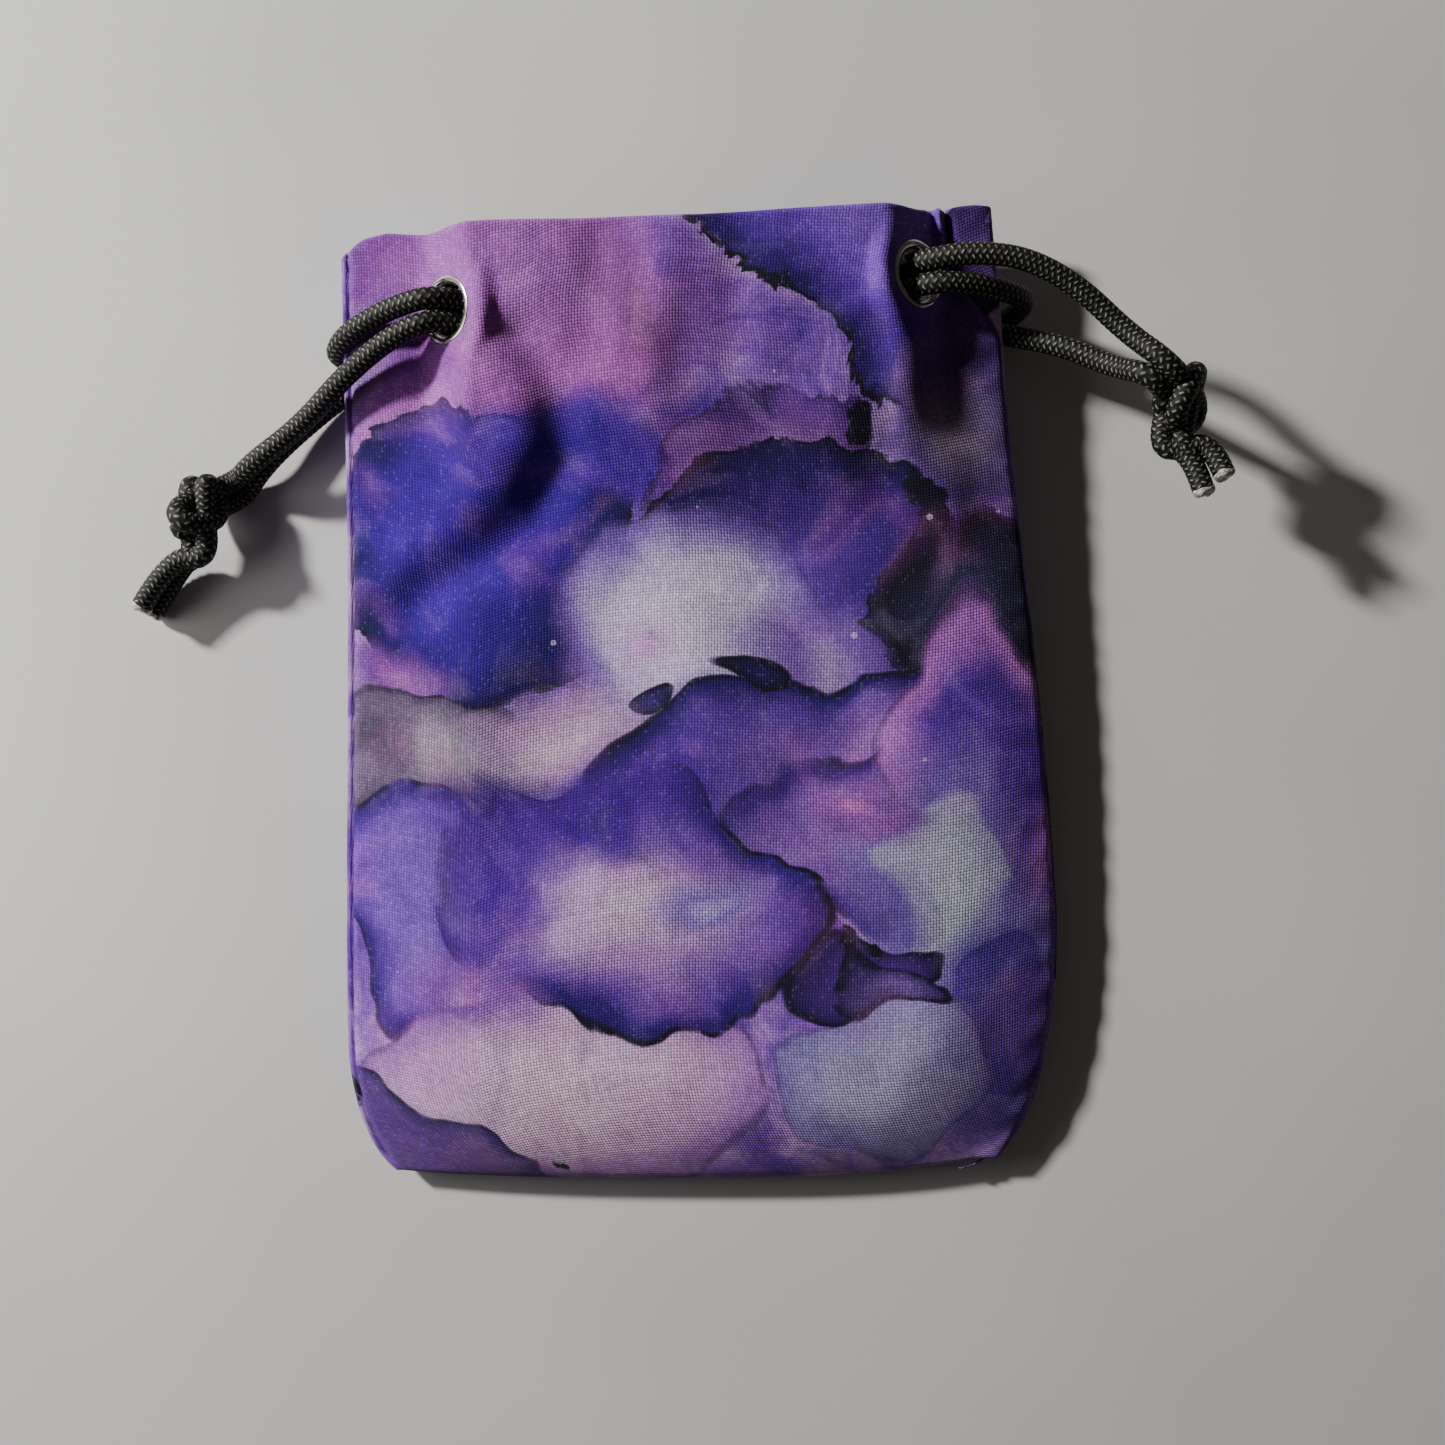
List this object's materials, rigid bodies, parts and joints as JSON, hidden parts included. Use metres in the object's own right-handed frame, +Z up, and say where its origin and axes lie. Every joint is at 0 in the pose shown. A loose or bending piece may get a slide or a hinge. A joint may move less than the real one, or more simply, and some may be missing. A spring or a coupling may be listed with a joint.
{
  "type": "drawstring dice bag",
  "caption": "Small flat cloth drawstring bag lying on its back, with eyelets near the mouth and two knotted cords that close it from both sides.",
  "frame": {"origin": "under the middle of the bag, on the surface that it lies on", "axes": "+X right, +Y towards the mouth, +Z up out of the front panel"},
  "size_m": [0.191, 0.172, 0.0235],
  "materials": {
    "printed_cotton": "plain-weave cotton with a violet ink-wash print",
    "lining_cotton": "plain dark cotton",
    "nickel": "polished nickel plate",
    "paracord": "black braided nylon with grey flecks",
    "melted_nylon": "melted nylon core",
    "thread": "spun sewing thread"
  },
  "bodies": {
    "root": {"front_panel": "printed_cotton", "back_panel": "printed_cotton", "front_lining": "lining_cotton", "back_lining": "lining_cotton", "seam_thread": "thread", "left_cord_front_run": "paracord", "left_cord_back_run": "paracord", "right_cord_front_run": "paracord", "right_cord_back_run": "paracord"},
    "left_mouth": {"left_front_eyelet": "nickel", "left_back_eyelet": "nickel", "left_front_washer": "nickel", "left_back_washer": "nickel", "right_cord_loop": "paracord"},
    "right_mouth": {"right_front_eyelet": "nickel", "right_back_eyelet": "nickel", "right_front_washer": "nickel", "right_back_washer": "nickel", "left_cord_loop": "paracord"},
    "left_end": {"left_front_strand": "paracord", "left_back_strand": "paracord", "left_knot": "paracord", "left_front_tail": "paracord", "left_back_tail": "paracord", "left_melted_ends": "melted_nylon"},
    "right_end": {"right_front_strand": "paracord", "right_back_strand": "paracord", "right_knot": "paracord", "right_front_tail": "paracord", "right_back_tail": "paracord", "right_melted_ends": "melted_nylon"}
  },
  "joints": [
    {"name": "left_gather", "type": "slide", "parent": "root", "child": "left_mouth", "axis": [1, 0, 0], "range_m": [0, 0.01], "deforming": ["front_panel", "back_panel", "front_lining", "back_lining", "seam_thread", "left_cord_front_run", "left_cord_back_run", "right_cord_front_run", "right_cord_back_run"]},
    {"name": "right_gather", "type": "slide", "parent": "root", "child": "right_mouth", "axis": [-1, 0, 0], "range_m": [0, 0.01], "deforming": ["front_panel", "back_panel", "front_lining", "back_lining", "seam_thread", "left_cord_front_run", "left_cord_back_run", "right_cord_front_run", "right_cord_back_run"]},
    {"name": "left_pull", "type": "slide", "parent": "left_mouth", "child": "left_end", "axis": [-0.8068, -0.5908, 0], "range_m": [0, 0.02], "deforming": ["left_front_strand", "left_back_strand"]},
    {"name": "right_pull", "type": "slide", "parent": "right_mouth", "child": "right_end", "axis": [0.8988, -0.4383, 0], "range_m": [0, 0.02], "deforming": ["right_front_strand", "right_back_strand"]}
  ],
  "couplings": [
    {"joint": "right_gather", "follows": "left_gather", "ratio": 1},
    {"joint": "left_pull", "follows": "left_gather", "ratio": 2},
    {"joint": "right_pull", "follows": "left_gather", "ratio": 2}
  ]
}
